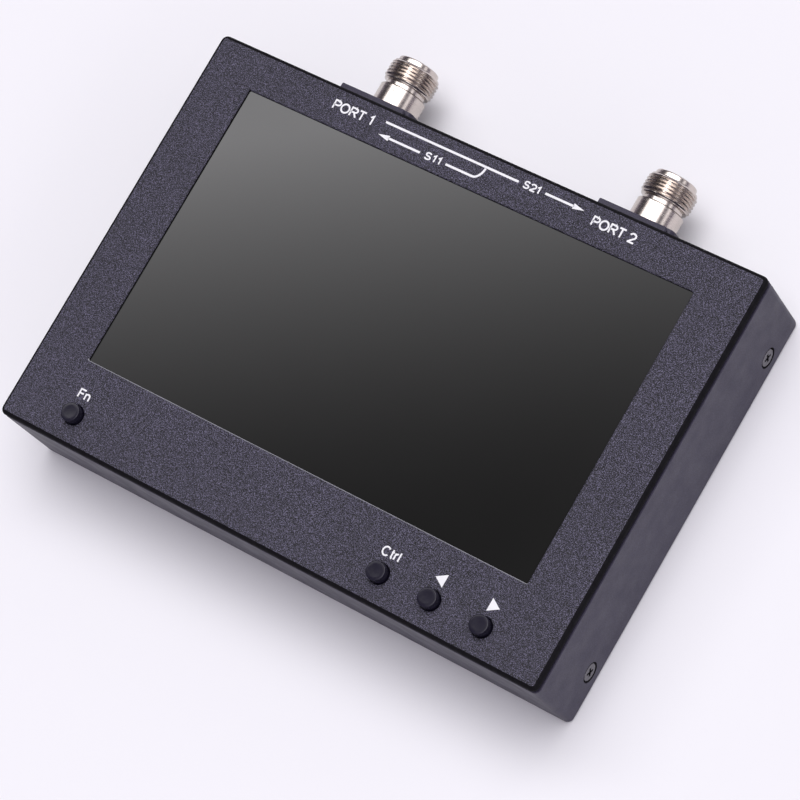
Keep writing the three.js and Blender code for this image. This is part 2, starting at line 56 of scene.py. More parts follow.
PORTS = ("port_1", "port_2")


# ---- places taken from the frame ----


def span(node):
    """Lowest and highest corner of a CAD node, in millimetres."""
    low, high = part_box(node)
    return low / MM, high / MM


def middle(node):
    low, high = span(node)
    return (low + high) / 2


def top_of(node):
    return span(node)[1].z


PANEL_LOW, PANEL_HIGH = span("front_panel")
TRAY_LOW, TRAY_HIGH = span("rear_housing")
WIDTH = PANEL_HIGH.x - PANEL_LOW.x
LENGTH = PANEL_HIGH.y - PANEL_LOW.y
CENTRE_Y = (PANEL_HIGH.y + PANEL_LOW.y) / 2
LEFT_WALL = PANEL_LOW.x
TOP_WALL = PANEL_HIGH.y
FRONT = PANEL_HIGH.z
RIM = TRAY_HIGH.z
GLASS_LOW, GLASS_HIGH = span("touch_glass")
SCREEN_Y = (GLASS_LOW.y + GLASS_HIGH.y) / 2
LIP_UNDER = GLASS_HIGH.z + GAP


# ---- driving dimensions ----

CORNER = 2.0
EDGE_ROUND = 1.4
BACK_ROUND = 1.2
WALL = 2.0
PANEL_UNDER = FRONT - 1.5
SKIRT = {"outer": 2.4, "inner": 4.0, "low": 28.5}
WINDOW = {"width": 155.0, "length": 92.4, "corner": 0.4, "chamfer": 0.22}
POCKET = {"width": 165.5, "length": 100.6, "corner": 2.3}
LUG = {"deep": 8.2, "half": 4.5, "low": 3.2, "edge": 0.4}
BOSS_TOP = PANEL_UNDER + 0.2
POST = {"board": 3.2, "key_board": 2.6, "below_head": 3.0, "edge": 0.3}
KEY = {
    "radius": 2.9, "edge": 0.28, "dish": 0.06, "hole": 3.2, "hole_edge": 0.15,
    "collar": 4.0, "collar_thick": 1.0, "stem": 1.5, "stem_long": 2.9,
}
RAIL = {"half": 11.25, "high": 2.0, "thick": 1.3, "below_rim": 0.3, "edge": 0.45}
FLANGE = {"half": 12.7, "thick": 2.1, "corner": 2.0, "hole": 9.1, "edge": 0.2}
BARREL = {"radius": 7.35, "top": 9.7, "edge": 0.35}
NECK = {"radius": 6.2, "top": 11.2}
THREAD = {"crest": 7.9, "root": 7.25, "pitch": 1.058, "turns": 6, "rows": 10}
MOUTH = {"radius": 6.5, "top": 19.2, "bore": 4.05, "deep": 9.2, "edge": 0.5, "bore_edge": 0.25}
TAIL = {"radius": 4.8, "long": 8.0, "bore": 3.6, "edge": 0.2}
CONTACT = {"radius": 1.52, "below": 5.0, "socket": 0.83, "deep": 5.0, "behind": 8.8}
FINGERS = {"slot": 0.3, "long": 3.5}
SCREW = {"head": 2.68, "head_high": 1.6, "shank": 1.5, "long": 8.0, "mouth": 3.15}
RIDGES = {"count": 12, "pitch": 0.5, "deep": 0.25}
CROSS = {"long": 3.4, "wide": 0.85, "deep": 1.2}
TURNED = {"side": 17, "flange": 23}
USB = {"width": 8.94, "high": 3.2, "skin": 0.35, "edge": 0.1, "back": 0.6}
TONGUE = {"long": 6.7, "thick": 0.7, "set_back": 1.0, "edge": 0.12}
PADS = {"count": 12, "pitch": 0.5, "half": 0.13, "proud": 0.03, "starts": 1.4, "ends": 5.0}
SWITCH = {"reach": 2.5, "half": 1.05}
RECESS = {"long": 9.0, "high": 4.0, "corner": 1.2, "deep": 1.0, "flare": 0.5}
GRIP = {"pitch": 0.62, "half": 0.12, "high": 0.12}
LED = {"radius": 1.0, "hole": 1.3, "dome": 0.25}
EASE = 0.12
INK = 0.02

FINE = 96
MEDIUM = 48
ARC_STEPS = 8


# ---- mesh helpers ----


def rounded_rectangle(width, length, radius, centre=(0.0, 0.0), steps=ARC_STEPS):
    """A closed outline as a function of how far it is grown outward."""

    def outline(grow):
        r = max(radius + grow, 0.02)
        x, y = width / 2 + grow - r, length / 2 + grow - r
        corners = ((x, y, 0), (-x, y, 90), (-x, -y, 180), (x, -y, 270))
        points = []
        for cx, cy, start in corners:
            for step in range(steps + 1):
                angle = math.radians(start + 90 * step / steps)
                points.append((centre[0] + cx + r * math.cos(angle), centre[1] + cy + r * math.sin(angle)))
        return points

    return outline


def circle(radius, centre=(0.0, 0.0), steps=MEDIUM):
    def outline(grow):
        angles = [2 * math.pi * step / steps for step in range(steps)]
        r = radius + grow
        return [(centre[0] + r * math.cos(a), centre[1] + r * math.sin(a)) for a in angles]

    return outline


def quarter(radius, steps=ARC_STEPS):
    """(inward, down) points of a rounded edge, from the top face to the side."""
    angles = [math.radians(90 * step / steps) for step in range(steps + 1)]
    return [(radius * math.sin(a) - radius, radius * math.cos(a) - radius) for a in angles]


def walls(bm, outline, profile):
    """Loops of the outline at each (grow, height) of the profile, joined by quads."""
    loops = [[bm.verts.new((x, y, z)) for x, y in outline(grow)] for grow, z in profile]
    for first, second in zip(loops, loops[1:]):
        for i in range(len(first)):
            bm.faces.new((first[i - 1], first[i], second[i], second[i - 1]))
    return loops


def flat(bm, *loops):
    """Closes the plane between an outer loop and any loops inside it."""
    edges = []
    for loop in loops:
        for i in range(len(loop)):
            pair = (loop[i - 1], loop[i])
            edges.append(bm.edges.get(pair) or bm.edges.new(pair))
    bmesh.ops.triangle_fill(bm, use_beauty=True, use_dissolve=False, edges=edges)


def capped(bm, outline, profile):
    """Walls along the profile, closed at both ends."""
    loops = walls(bm, outline, profile)
    flat(bm, loops[0])
    flat(bm, loops[-1])


def prism(bm, outline, low, high, edge=0.0):
    """A solid between two heights, its two rims eased by edge."""
    ease = [(edge + inward, down) for inward, down in quarter(edge, 3)] if edge else [(0, 0)]
    top = [(inward - edge, high + down) for inward, down in ease]
    bottom = [(inward - edge, low - down) for inward, down in reversed(ease)]
    capped(bm, outline, top + bottom)


def patch(first, second, i):
    """Corners of face i between two rings, either of which may be a single point."""
    if len(first) == 1:
        return first[0], second[i], second[i - 1]
    if len(second) == 1:
        return first[i - 1], first[i], second[0]
    return first[i - 1], first[i], second[i], second[i - 1]


def lathe(bm, profile, steps=MEDIUM, closed=False):
    """Turns (radius, height) points about +Y. A radius may be a function of the angle."""
    rings = []
    for radius, height in profile:
        if not callable(radius) and radius < 1e-6:
            rings.append([bm.verts.new((0, height, 0))])
            continue
        ring = []
        for step in range(steps):
            angle = 2 * math.pi * step / steps
            r = radius(angle) if callable(radius) else radius
            ring.append(bm.verts.new((r * math.sin(angle), height, r * math.cos(angle))))
        rings.append(ring)
    pairs = list(zip(rings, rings[1:])) + ([(rings[-1], rings[0])] if closed else [])
    for first, second in pairs:
        for i in range(steps):
            bm.faces.new(patch(first, second, i))


def block(bm, low, high, edge=0.0):
    """A box between two corners, with its edges eased."""
    size = Vector(high) - Vector(low)
    place = Matrix.Translation((Vector(low) + Vector(high)) / 2) @ Matrix.Diagonal((*size, 1))
    corners = bmesh.ops.create_cube(bm, size=1, matrix=place)["verts"]
    if edge:
        edges = {e for v in corners for e in v.link_edges}
        bmesh.ops.bevel(bm, geom=list(edges), offset=edge, segments=3, profile=0.5, affect="EDGES")


def turn(bm, matrix):
    bmesh.ops.transform(bm, matrix=matrix, verts=bm.verts)


UPRIGHT = Matrix.Rotation(math.radians(90), 4, "X")
INTO_WALL = Matrix(((0, 0, 1, 0), (1, 0, 0, 0), (0, 1, 0, 0), (0, 0, 0, 1)))


def facing(side):
    """Turns a +Y part to point along +X or -X."""
    return Matrix.Rotation(math.radians(-90 * side), 4, "Z")


def made(build, *args, **options):
    """A bmesh holding one built part."""
    bm = bmesh.new()
    build(bm, *args, **options)
    return bm


def placed(build, matrix, *args):
    """A bmesh holding one built part, moved by the matrix."""
    bm = made(build, *args)
    turn(bm, matrix)
    return bm


def at(x, y, z):
    return Matrix.Translation((x, y, z))


def to_mesh(bm, name="part"):
    mesh = bpy.data.meshes.new(name)
    bm.to_mesh(mesh)
    bm.free()
    return mesh


def mesh_of(bm, name, sharp=38):
    """A finished mesh in metres, smooth but for its sharp edges."""
    bmesh.ops.recalc_face_normals(bm, faces=bm.faces)
    turn(bm, Matrix.Scale(MM, 4))
    mesh = to_mesh(bm, name)
    mesh.shade_smooth()
    mesh.set_sharp_from_angle(angle=math.radians(sharp))
    return mesh


def merge(bm, *others):
    """Adds other bmeshes to the first, as separate closed bodies."""
    for other in others:
        mesh = to_mesh(other)
        bm.from_mesh(mesh)
        bpy.data.meshes.remove(mesh)
    return bm


def paint_recess_shade(bm):
    """Marks a cutter, so that the faces it leaves take the second material: near-black painted shade in
    the hollow.
    """
    for face in bm.faces:
        face.material_index = 1


def linked(name, data):
    obj = bpy.data.objects.new(name, data)
    bpy.context.scene.collection.objects.link(obj)
    return obj


def boolean(bm, tool, operation):
    """The exact join or cut of two bmeshes. Two empty slots keep the material indices apart."""
    holders = []
    for part in (bm, tool):
        bmesh.ops.recalc_face_normals(part, faces=part.faces)
        mesh = to_mesh(part)
        mesh.materials.append(None)
        mesh.materials.append(None)
        holders.append(linked("part", mesh))
    modifier = holders[0].modifiers.new("cut", "BOOLEAN")
    modifier.operation = operation
    modifier.solver = "EXACT"
    modifier.object = holders[1]
    depsgraph = bpy.context.evaluated_depsgraph_get()
    joined = bpy.data.meshes.new_from_object(holders[0].evaluated_get(depsgraph))
    result = bmesh.new()
    result.from_mesh(joined)
    for holder in holders:
        mesh = holder.data
        bpy.data.objects.remove(holder)
        bpy.data.meshes.remove(mesh)
    bpy.data.meshes.remove(joined)
    bmesh.ops.remove_doubles(result, verts=result.verts, dist=0.001)
    return result


def piece(name, mesh, body, finishes, replaces=(), matrix=None):
    """A finished piece that rides on a body. Its mesh may be shared."""
    obj = linked(name, mesh)
    if matrix is not None:
        obj.matrix_world = matrix
    if not mesh.materials:
        for finish in finishes:
            mesh.materials.append(FINISH[finish])
    normals = obj.modifiers.new("normals", "WEIGHTED_NORMAL")
    normals.keep_sharp = True
    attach(obj, body)
    if replaces:
        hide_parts(*replaces)


def single(name, bm, body, finishes, replaces=()):
    """A piece with a mesh of its own."""
    piece(name, mesh_of(bm, name), body, finishes, replaces)


# ---- materials ----


def map_range(tree, value, starts, ends, low, high):
    node = tree.nodes.new("ShaderNodeMapRange")
    tree.links.new(value, node.inputs["Value"])
    for socket, number in (("From Min", starts), ("From Max", ends), ("To Min", low), ("To Max", high)):
        node.inputs[socket].default_value = number
    return node


class Finish:
    """A Principled material with procedural colour, roughness and relief. Sizes are in millimetres."""

    def __init__(self, name, colour, metallic=0.0, **uniform):
        self.material = bpy.data.materials.new(name)
        self.material.use_nodes = True
        self.nodes = self.material.node_tree.nodes
        self.links = self.material.node_tree.links
        self.shader = self.nodes["Principled BSDF"]
        self.place = self.nodes.new("ShaderNodeTexCoord").outputs["Object"]
        self.shader.inputs["Base Color"].default_value = (*colour, 1)
        self.shader.inputs["Metallic"].default_value = metallic
        for socket, value in uniform.items():
            self.shader.inputs[socket.replace("_", " ")].default_value = value
        self.base = colour
        self.colour = None
        self.roughness = None
        self.normal = None

    def stretched(self, scale):
        node = self.nodes.new("ShaderNodeVectorMath")
        node.operation = "MULTIPLY"
        self.links.new(self.place, node.inputs[0])
        node.inputs[1].default_value = scale
        return node.outputs[0]

    def noise(self, size, detail=2.0, stretch=None):
        node = self.nodes.new("ShaderNodeTexNoise")
        self.links.new(self.stretched(stretch) if stretch else self.place, node.inputs["Vector"])
        node.inputs["Scale"].default_value = 1 / (size * MM)
        node.inputs["Detail"].default_value = detail
        return node.outputs["Fac"]

    def cells(self, size):
        node = self.nodes.new("ShaderNodeTexVoronoi")
        self.links.new(self.place, node.inputs["Vector"])
        node.inputs["Scale"].default_value = 1 / (size * MM)
        return node.outputs["Distance"]

    def ranged(self, value, low, high, start=0.3, end=0.7):
        return map_range(self.material.node_tree, value, start, end, low, high).outputs["Result"]

    def vary_colour(self, value, low, high, **value_range):
        """Multiplies the colour by low to high as the value goes from low to high."""
        node = self.nodes.new("ShaderNodeVectorMath")
        node.operation = "SCALE"
        if self.colour is None:
            node.inputs[0].default_value = self.base
        else:
            self.links.new(self.colour, node.inputs[0])
        self.links.new(self.ranged(value, low, high, **value_range), node.inputs["Scale"])
        self.colour = node.outputs[0]

    def tint(self, factor, colour):
        """Blends the varied colour towards another one."""
        node = self.nodes.new("ShaderNodeMix")
        node.data_type = "RGBA"
        self.links.new(factor, node.inputs["Factor"])
        self.links.new(self.colour, node.inputs[6])
        node.inputs[7].default_value = (*colour, 1)
        self.colour = node.outputs[2]

    def vary_roughness(self, value, low, high):
        self.roughness = self.ranged(value, low, high)

    def relief(self, value, depth, strength=1.0):
        node = self.nodes.new("ShaderNodeBump")
        node.inputs["Strength"].default_value = strength
        node.inputs["Distance"].default_value = depth * MM
        self.links.new(value, node.inputs["Height"])
        if self.normal is not None:
            self.links.new(self.normal, node.inputs["Normal"])
        self.normal = node.outputs["Normal"]

    def done(self):
        varied = {"Base Color": self.colour, "Roughness": self.roughness, "Normal": self.normal}
        for socket, output in varied.items():
            if output is not None:
                self.links.new(output, self.shader.inputs[socket])
        return self.material


def bead_paint():
    """Fine bead-textured powder coat on the front panel."""
    f = Finish("panel_powder_coat", (0.0455, 0.0425, 0.0645), Specular_IOR_Level=0.42)
    bead = f.noise(0.28, 0.5)
    speck = f.noise(0.2, 0.5)
    f.vary_colour(bead, 0.05, 2.1, start=0.37, end=0.65)
    f.vary_colour(speck, 0.2, 1.85, start=0.35, end=0.66)
    f.vary_colour(f.noise(26, 2.0), 0.94, 1.06)
    f.vary_roughness(f.noise(0.9), 0.46, 0.6)
    f.relief(bead, 0.26)
    f.relief(speck, 0.1, 0.8)
    return f.done()


def satin_paint():
    """Smoother satin coat on the tray."""
    f = Finish("housing_satin_paint", (0.0375, 0.033, 0.057), Specular_IOR_Level=0.32)
    grain = f.noise(0.3, 1.0)
    f.vary_colour(grain, 0.7, 1.32)
    f.vary_colour(f.noise(34, 3.0), 0.95, 1.05)
    f.vary_roughness(f.noise(6, 4.0), 0.42, 0.54)
    f.relief(grain, 0.02, 0.45)
    return f.done()


def dark_rim_and_recess_shade_paint():
    """Matt and nearly black, on the panel's rounded outer edge; in countersinks and screw cross recesses
    it is painted shade.
    """
    f = Finish("dark_rim_and_recess_shade", (0.004, 0.0035, 0.005), Specular_IOR_Level=0.12)
    f.vary_colour(f.noise(0.5), 0.8, 1.3)
    f.vary_roughness(f.noise(2.0), 0.65, 0.85)
    f.relief(f.noise(0.25), 0.015, 0.4)
    return f.done()


def screen_glass():
    """Cover glass bonded to a dark, switched-off screen."""
    f = Finish("screen_cover_glass", (0.0103, 0.0105, 0.0096), IOR=1.52)
    f.vary_colour(f.noise(60, 1.0), 0.97, 1.03)
    f.vary_roughness(f.noise(18, 5.0), 0.02, 0.045)
    return f.done()


def nickel_plate():
    """Bright nickel over fine lathe lines round the barrel."""
    f = Finish("nickel_plating", (0.61, 0.55, 0.505), metallic=1.0)
    rings = f.noise(0.16, 2.0, stretch=(0.02, 1, 0.02))
    f.vary_colour(f.noise(3.0, 3.0), 0.92, 1.06)
    f.vary_roughness(rings, 0.17, 0.29)
    f.relief(rings, 0.012, 0.5)
    return f.done()


def plain_finish(name, colour, roughness, metallic=0.0, grain=0.3, depth=0.015, mottle=0.08, **uniform):
    """Moulded, drawn or plated stock with fine grain and slight mottling."""
    f = Finish(name, colour, metallic, **uniform)
    f.vary_colour(f.noise(grain * 20, 3.0), 1 - mottle, 1 + mottle)
    f.vary_roughness(f.noise(grain * 8, 3.0), roughness * 0.85, roughness * 1.15)
    f.relief(f.noise(grain, 2.0), depth, 0.6)
    return f.done()


def key_plastic():
    """Dark, faintly violet plastic, smooth enough for a thin bright line round each cap."""
    return plain_finish(
        "key_cap_plastic", (0.009, 0.0075, 0.018), 0.2, grain=0.1, depth=0.004, Specular_IOR_Level=0.3
    )


def clear_plastic():
    return plain_finish("clear_light_pipe", (0.8, 0.85, 0.82), 0.15, Transmission_Weight=0.7)


def board_finish():
    """Solder mask over copper: darker between the traces, which run along X and Y."""
    f = Finish("solder_mask", (0.008, 0.05, 0.024))
    lines = f.noise(1.2, 1.0, stretch=(1, 0.08, 1))
    cross = f.noise(1.2, 1.0, stretch=(0.08, 1, 1))
    f.vary_colour(lines, 0.7, 1.5)
    f.vary_colour(cross, 0.8, 1.3)
    f.tint(f.ranged(f.cells(2.6), 1, 0, 0.05, 0.09), (0.62, 0.56, 0.42))
    f.vary_roughness(f.noise(0.8), 0.28, 0.45)
    f.relief(lines, 0.03, 0.5)
    return f.done()


def braid_finish():
    """Tinned braid of the jumper coax: fine crossing strands."""
    f = Finish("coax_braid", (0.5, 0.5, 0.52), metallic=0.9)
    strands = f.cells(0.32)
    f.vary_colour(strands, 0.6, 1.2)
    f.vary_roughness(f.noise(0.6), 0.28, 0.42)
    f.relief(strands, 0.06, 0.8)
    return f.done()


def finishes():
    return {
        "panel": bead_paint(),
        # nearly black on the panel's rounded edge, and painted shade in countersinks and cross recesses
        "edge": dark_rim_and_recess_shade_paint(),
        "housing": satin_paint(),
        "glass": screen_glass(),
        "nickel": nickel_plate(),
        "ink": plain_finish("legend_ink", (0.82, 0.82, 0.84), 0.5, grain=0.12, depth=0.01, mottle=0.04),
        # painted highlight: lighter grey drawn on the window's chamfer nearest the keys
        "chamfer_highlight_paint": plain_finish("painted_chamfer_highlight", (0.3, 0.3, 0.33), 0.4),
        "key": key_plastic(),
        "screw": plain_finish("black_oxide_steel", (0.13, 0.125, 0.14), 0.26, 0.9, grain=0.15),
        "gold": plain_finish("gold_plating", (0.86, 0.62, 0.24), 0.2, 1.0, grain=0.2, depth=0.006),
        "white": plain_finish("white_fluoropolymer", (0.82, 0.81, 0.78), 0.45, grain=0.4),
        "steel": plain_finish("drawn_steel", (0.52, 0.52, 0.53), 0.3, 1.0, grain=0.25, depth=0.008),
        "black": plain_finish("black_moulding", (0.014, 0.014, 0.015), 0.45, grain=0.2),
        "battery": plain_finish("battery_shrink_wrap", (0.03, 0.075, 0.15), 0.35, grain=0.8, depth=0.05),
        "flex": plain_finish("polyimide_ribbon", (0.48, 0.2, 0.03), 0.3, grain=0.5),
        "clear": clear_plastic(),
        "board": board_finish(),
        "braid": braid_finish(),
    }


FINISH = finishes()


# ---- front panel ----

PAINT, DARK_RIM, HIGHLIGHT_CHAMFER = range(3)


def panel_finish(face):
    """Paint on the face, a nearly black outer edge, and a painted highlight: lighter grey on the window's
    chamfer nearest the keys.
    """
    centre = face.calc_center_median()
    reach_x = max(abs(v.co.x) for v in face.verts)
    reach_y = max(abs(v.co.y - CENTRE_Y) for v in face.verts)
    margin = EDGE_ROUND + 0.01
    inside = reach_x < WIDTH / 2 - margin and reach_y < LENGTH / 2 - margin
    on_chamfer = abs(centre.z - FRONT + WINDOW["chamfer"] / 2) < 0.01
    # painted highlight: the chamfer along the window's lower edge is drawn lighter, as if it caught the
    # light
    if inside and on_chamfer and centre.y < SCREEN_Y - WINDOW["length"] / 2 + 1:
        return HIGHLIGHT_CHAMFER
    return PAINT if inside or centre.z > FRONT - 0.02 else DARK_RIM


def key_hole(bm, key):
    place = middle(f"button_{key}")
    edge = KEY["hole_edge"]
    hole = circle(KEY["hole"], (place.x, place.y))
    return walls(bm, hole, [(edge, FRONT), (0, FRONT - edge), (0, PANEL_UNDER)])


def front_panel():
    """The painted face with its window and key holes, and the skirt that drops inside the tray."""
    bm = bmesh.new()
    outer = rounded_rectangle(WIDTH, LENGTH, CORNER, (0, CENTRE_Y))
    profile = [(inward, FRONT + down) for inward, down in quarter(EDGE_ROUND)]
    profile += [
        (0, PANEL_UNDER),
        (-SKIRT["outer"], PANEL_UNDER),
        (-SKIRT["outer"], SKIRT["low"]),
        (-SKIRT["inner"], SKIRT["low"]),
        (-SKIRT["inner"], PANEL_UNDER),
    ]
    edge = walls(bm, outer, profile)
    chamfer = WINDOW["chamfer"]
    window = rounded_rectangle(WINDOW["width"], WINDOW["length"], WINDOW["corner"], (0, SCREEN_Y))
    pocket = rounded_rectangle(POCKET["width"], POCKET["length"], POCKET["corner"], (0, SCREEN_Y))
    lip = walls(bm, window, [(chamfer, FRONT), (0, FRONT - chamfer), (0, LIP_UNDER)])
    rebate = walls(bm, pocket, [(0, LIP_UNDER), (0, PANEL_UNDER)])
    flat(bm, rebate[0], lip[-1])
    holes = [key_hole(bm, key) for key in KEYS]
    flat(bm, edge[0], lip[0], *[hole[0] for hole in holes])
    flat(bm, edge[-1], rebate[-1], *[hole[-1] for hole in holes])
    for face in bm.faces:
        face.material_index = panel_finish(face)
    merge(bm, *panel_bosses())
    single("panel_face", bm, "case", ["panel", "edge", "chamfer_highlight_paint"], ["front_panel"])


def side_lug(screw):
    """The lug inside the tray wall that a side screw goes into."""
    side = math.copysign(1, screw.x)
    outer = side * (WIDTH / 2 - WALL - GAP)
    inner = outer - side * LUG["deep"]
    low = (min(outer, inner), screw.y - LUG["half"], LUG["low"])
    high = (max(outer, inner), screw.y + LUG["half"], BOSS_TOP)
    return made(block, low, high, LUG["edge"])


def post(screw, radius):
    """The post between the panel and a board, under one board screw."""
    outline = circle(radius, middle(screw).xy, 32)
    return made(prism, outline, top_of(screw) - POST["below_head"], BOSS_TOP, POST["edge"])


def panel_bosses():
    """Lugs for the side screws, and posts for the two boards, under the panel."""
    bosses = []
    for index in range(1, 5):
        bosses.append(side_lug(middle(f"side_screw_{index}")))
        bosses.append(post(f"board_screw_{index}", POST["board"]))
    for index in (1, 2):
        bosses.append(post(f"key_board_screw_{index}", POST["key_board"]))
    return bosses


# ---- printed legends ----

PORT_TEXT = {"cap": 3.2, "width": 14.6, "base": 48.05, "stroke": 0.54}
PATH_TEXT = {"cap": 2.45, "width": 5.9, "stroke": 0.46}
KEY_TEXT = {"cap": 3.05, "above": 6.5, "stroke": 0.5}
KEY_WORDS = {
    "fn": {"text": "Fn", "starts": -2.2, "width": 4.5},
    "ctrl": {"text": "Ctrl", "starts": -2.6, "width": 6.2},
}
KEY_ARROWS = {"left": {"shift": -0.5, "way": -1}, "right": {"shift": 0.4, "way": 1}}
LINE = 0.68
ARROW = {"long": 3.8, "half": 0.85}
ARROW_MARK = {"long": 3.35, "half": 2.0}
PORT_CLEAR = {"port_1": 10.0, "port_2": 11.5}
THROUGH = {"y": 51.0, "line_end": 14.1, "text": 16.0, "text_base": 49.9, "arrow": 23.2, "arrow_y": 51.1}
REFLECT = {"y": 46.9, "arrow": -17.9, "text": -15.9, "text_base": 45.75, "line_start": -8.9}
FORK = {"x": 3.0, "reach": 2.6}


def arc(cx, cy, rx, ry, start, end, steps=10):
    """Points of an elliptical arc, in degrees anticlockwise from +X."""
    turns = [math.radians(start + (end - start) * step / steps) for step in range(steps + 1)]
    return [(cx + rx * math.cos(a), cy + ry * math.sin(a)) for a in turns]


# Stroke letters on a cap height of 1: (advance width, strokes). Lower-case letters stand 0.74 high.
GLYPHS = {
    "P": (0.8, [[(0, 0), (0, 1), (0.34, 1), *arc(0.34, 0.74, 0.28, 0.26, 90, -90), (0, 0.48)]]),
    "O": (1.02, [arc(0.4, 0.5, 0.4, 0.5, 0, 360, 28)]),
    "R": (0.84, [
        [(0, 0), (0, 1), (0.38, 1), *arc(0.38, 0.755, 0.26, 0.245, 90, -90), (0, 0.51)],
        [(0.34, 0.51), (0.66, 0)],
    ]),
    "T": (0.8, [[(0, 1), (0.66, 1)], [(0.33, 1), (0.33, 0)]]),
    "S": (0.82, [[
        *arc(0.31, 0.755, 0.27, 0.245, 20, 210, 12),
        *arc(0.31, 0.76, 0.3, 0.26, 225, 270, 3),
        *arc(0.31, 0.26, 0.3, 0.25, 90, -60, 10),
        *arc(0.3, 0.25, 0.3, 0.25, -75, -165, 6),
    ]]),
    "F": (0.76, [[(0, 0), (0, 1), (0.58, 1)], [(0, 0.53), (0.5, 0.53)]]),
    "C": (0.98, [arc(0.4, 0.5, 0.4, 0.5, 42, 318, 22)]),
    "n": (0.7, [[(0, 0), (0, 0.74)], [(0, 0.44), *arc(0.23, 0.46, 0.23, 0.26, 160, 0, 8), (0.46, 0)]]),
    "t": (0.5, [
        [(0.13, 0.98), (0.13, 0.18), *arc(0.28, 0.17, 0.15, 0.17, 180, 270, 5)],
        [(0, 0.7), (0.3, 0.7)],
    ]),
    "r": (0.5, [[(0, 0), (0, 0.74)], [(0, 0.42), *arc(0.24, 0.46, 0.24, 0.26, 165, 80, 6)]]),
    "l": (0.2, [[(0, 0), (0, 1)]]),
    "1": (0.6, [[(0.3, 0), (0.3, 1), (0.05, 0.76)]]),
    "2": (0.76, [
        [*arc(0.31, 0.7, 0.3, 0.3, 165, -35, 12), (0.36, 0.34), (0.02, 0)],
        [(0, 0), (0.64, 0)],
    ]),
    " ": (0.38, []),
}


def lettering(text, style, x, base, width):
    """Printed letters with their left end at x, the line of text stretched or closed to the width."""
    stroke_width = style["stroke"]
    cap = style["cap"] - stroke_width
    stretch = width / (sum(GLYPHS[letter][0] for letter in text) * cap)
    foot = base + stroke_width / 2
    parts = []
    for letter in text:
        advance, strokes = GLYPHS[letter]
        for layer, stroke in enumerate(strokes):
            points = [(x + px * cap * stretch, foot + py * cap) for px, py in stroke]
            parts.append(ribbon(points, stroke_width, FRONT + layer * INK / 5))
        x += advance * cap * stretch
    return parts


def shape(points):
    """One flat printed shape from its corner points."""
    bm = bmesh.new()
    bm.faces.new([bm.verts.new((x, y, FRONT)) for x, y in points])
    return bm


def ribbon(points, width=LINE, z=FRONT):
    """A printed line of even width along points, mitred at its corners."""
    bm = bmesh.new()
    places = [Vector(point) for point in points]
    closed = (places[0] - places[-1]).length < 1e-6
    if closed:
        places.pop()
    count = len(places)
    rows = []
    for i, place in enumerate(places):
        behind = places[i - 1] if i or closed else None
        ahead = places[(i + 1) % count] if i + 1 < count or closed else None
        before = (place - behind).normalized() if behind is not None else (ahead - place).normalized()
        after = (ahead - place).normalized() if ahead is not None else before
        across = Vector((-before.y - after.y, before.x + after.x)).normalized()
        reach = width / 2 / max(across.dot(Vector((-before.y, before.x))), 0.4)
        rows.append([bm.verts.new((*(place + side * across * reach), z)) for side in SIDES])
    for first, second in zip(rows, rows[1:] + rows[:1] if closed else rows[1:]):
        bm.faces.new((first[0], second[0], second[1], first[1]))
    return bm


def arrow(tail, tip, y):
    """A printed line from tail to tip with a slim head at the tip."""
    way = math.copysign(1, tip - tail)
    neck = tip - way * ARROW["long"]
    head = [(neck, y - ARROW["half"]), (neck, y + ARROW["half"]), (tip, y)]
    return [ribbon([(tail, y), (neck + way * 0.2, y)]), shape(head)]


def path_diagram():
    """The through path from port 1 to port 2, with its branch back to port 1."""
    start = middle("port_1_connector").x + PORT_CLEAR["port_1"]
    end = middle("port_2_connector").x - PORT_CLEAR["port_2"]
    reach = FORK["reach"]
    bend = arc(FORK["x"] - reach, THROUGH["y"], reach, THROUGH["y"] - REFLECT["y"], -90, -6, 9)
    return [
        ribbon([(start, THROUGH["y"]), (THROUGH["line_end"], THROUGH["y"])]),
        *arrow(REFLECT["arrow"], start - 0.3, REFLECT["y"]),
        *lettering("S11", PATH_TEXT, REFLECT["text"], REFLECT["text_base"], PATH_TEXT["width"]),
        ribbon([(REFLECT["line_start"], REFLECT["y"]), *bend]),
        *lettering("S21", PATH_TEXT, THROUGH["text"], THROUGH["text_base"], PATH_TEXT["width"]),
        *arrow(THROUGH["arrow"], end, THROUGH["arrow_y"]),
    ]


def port_legends():
    parts = []
    for port in PORTS:
        left = middle(f"{port}_connector").x - PORT_TEXT["width"] / 2 - 0.5
        parts += lettering(f"PORT {port[-1]}", PORT_TEXT, left, PORT_TEXT["base"], PORT_TEXT["width"])
    return parts


def arrow_mark(x, y, way):
    """A solid triangle that points along +X or -X."""
    tip, half = way * ARROW_MARK["long"] / 2, way * ARROW_MARK["half"]
    return shape([(x + tip, y), (x - tip, y + half), (x - tip, y - half)])


def key_legends():
    y = middle("button_fn").y + KEY_TEXT["above"]
    base = y - KEY_TEXT["cap"] / 2
    parts = []
    for key, word in KEY_WORDS.items():
        x = middle(f"button_{key}").x + word["starts"]
        parts += lettering(word["text"], KEY_TEXT, x, base, word["width"])
    for key, mark in KEY_ARROWS.items():
        x = middle(f"button_{key}").x + mark["shift"]
        parts.append(arrow_mark(x, y, mark["way"]))
    return parts


def legends():
    """All the ink as one thin raised print."""
    bm = merge(bmesh.new(), *port_legends(), *path_diagram(), *key_legends())
    extruded = bmesh.ops.extrude_face_region(bm, geom=list(bm.faces))["geom"]
    raised = [v for v in extruded if isinstance(v, bmesh.types.BMVert)]
    bmesh.ops.translate(bm, verts=raised, vec=(0, 0, INK))
    bmesh.ops.translate(bm, verts=bm.verts, vec=(0, 0, -INK / 4))
    single("panel_legends", bm, "case", ["ink"])


# ---- tray ----


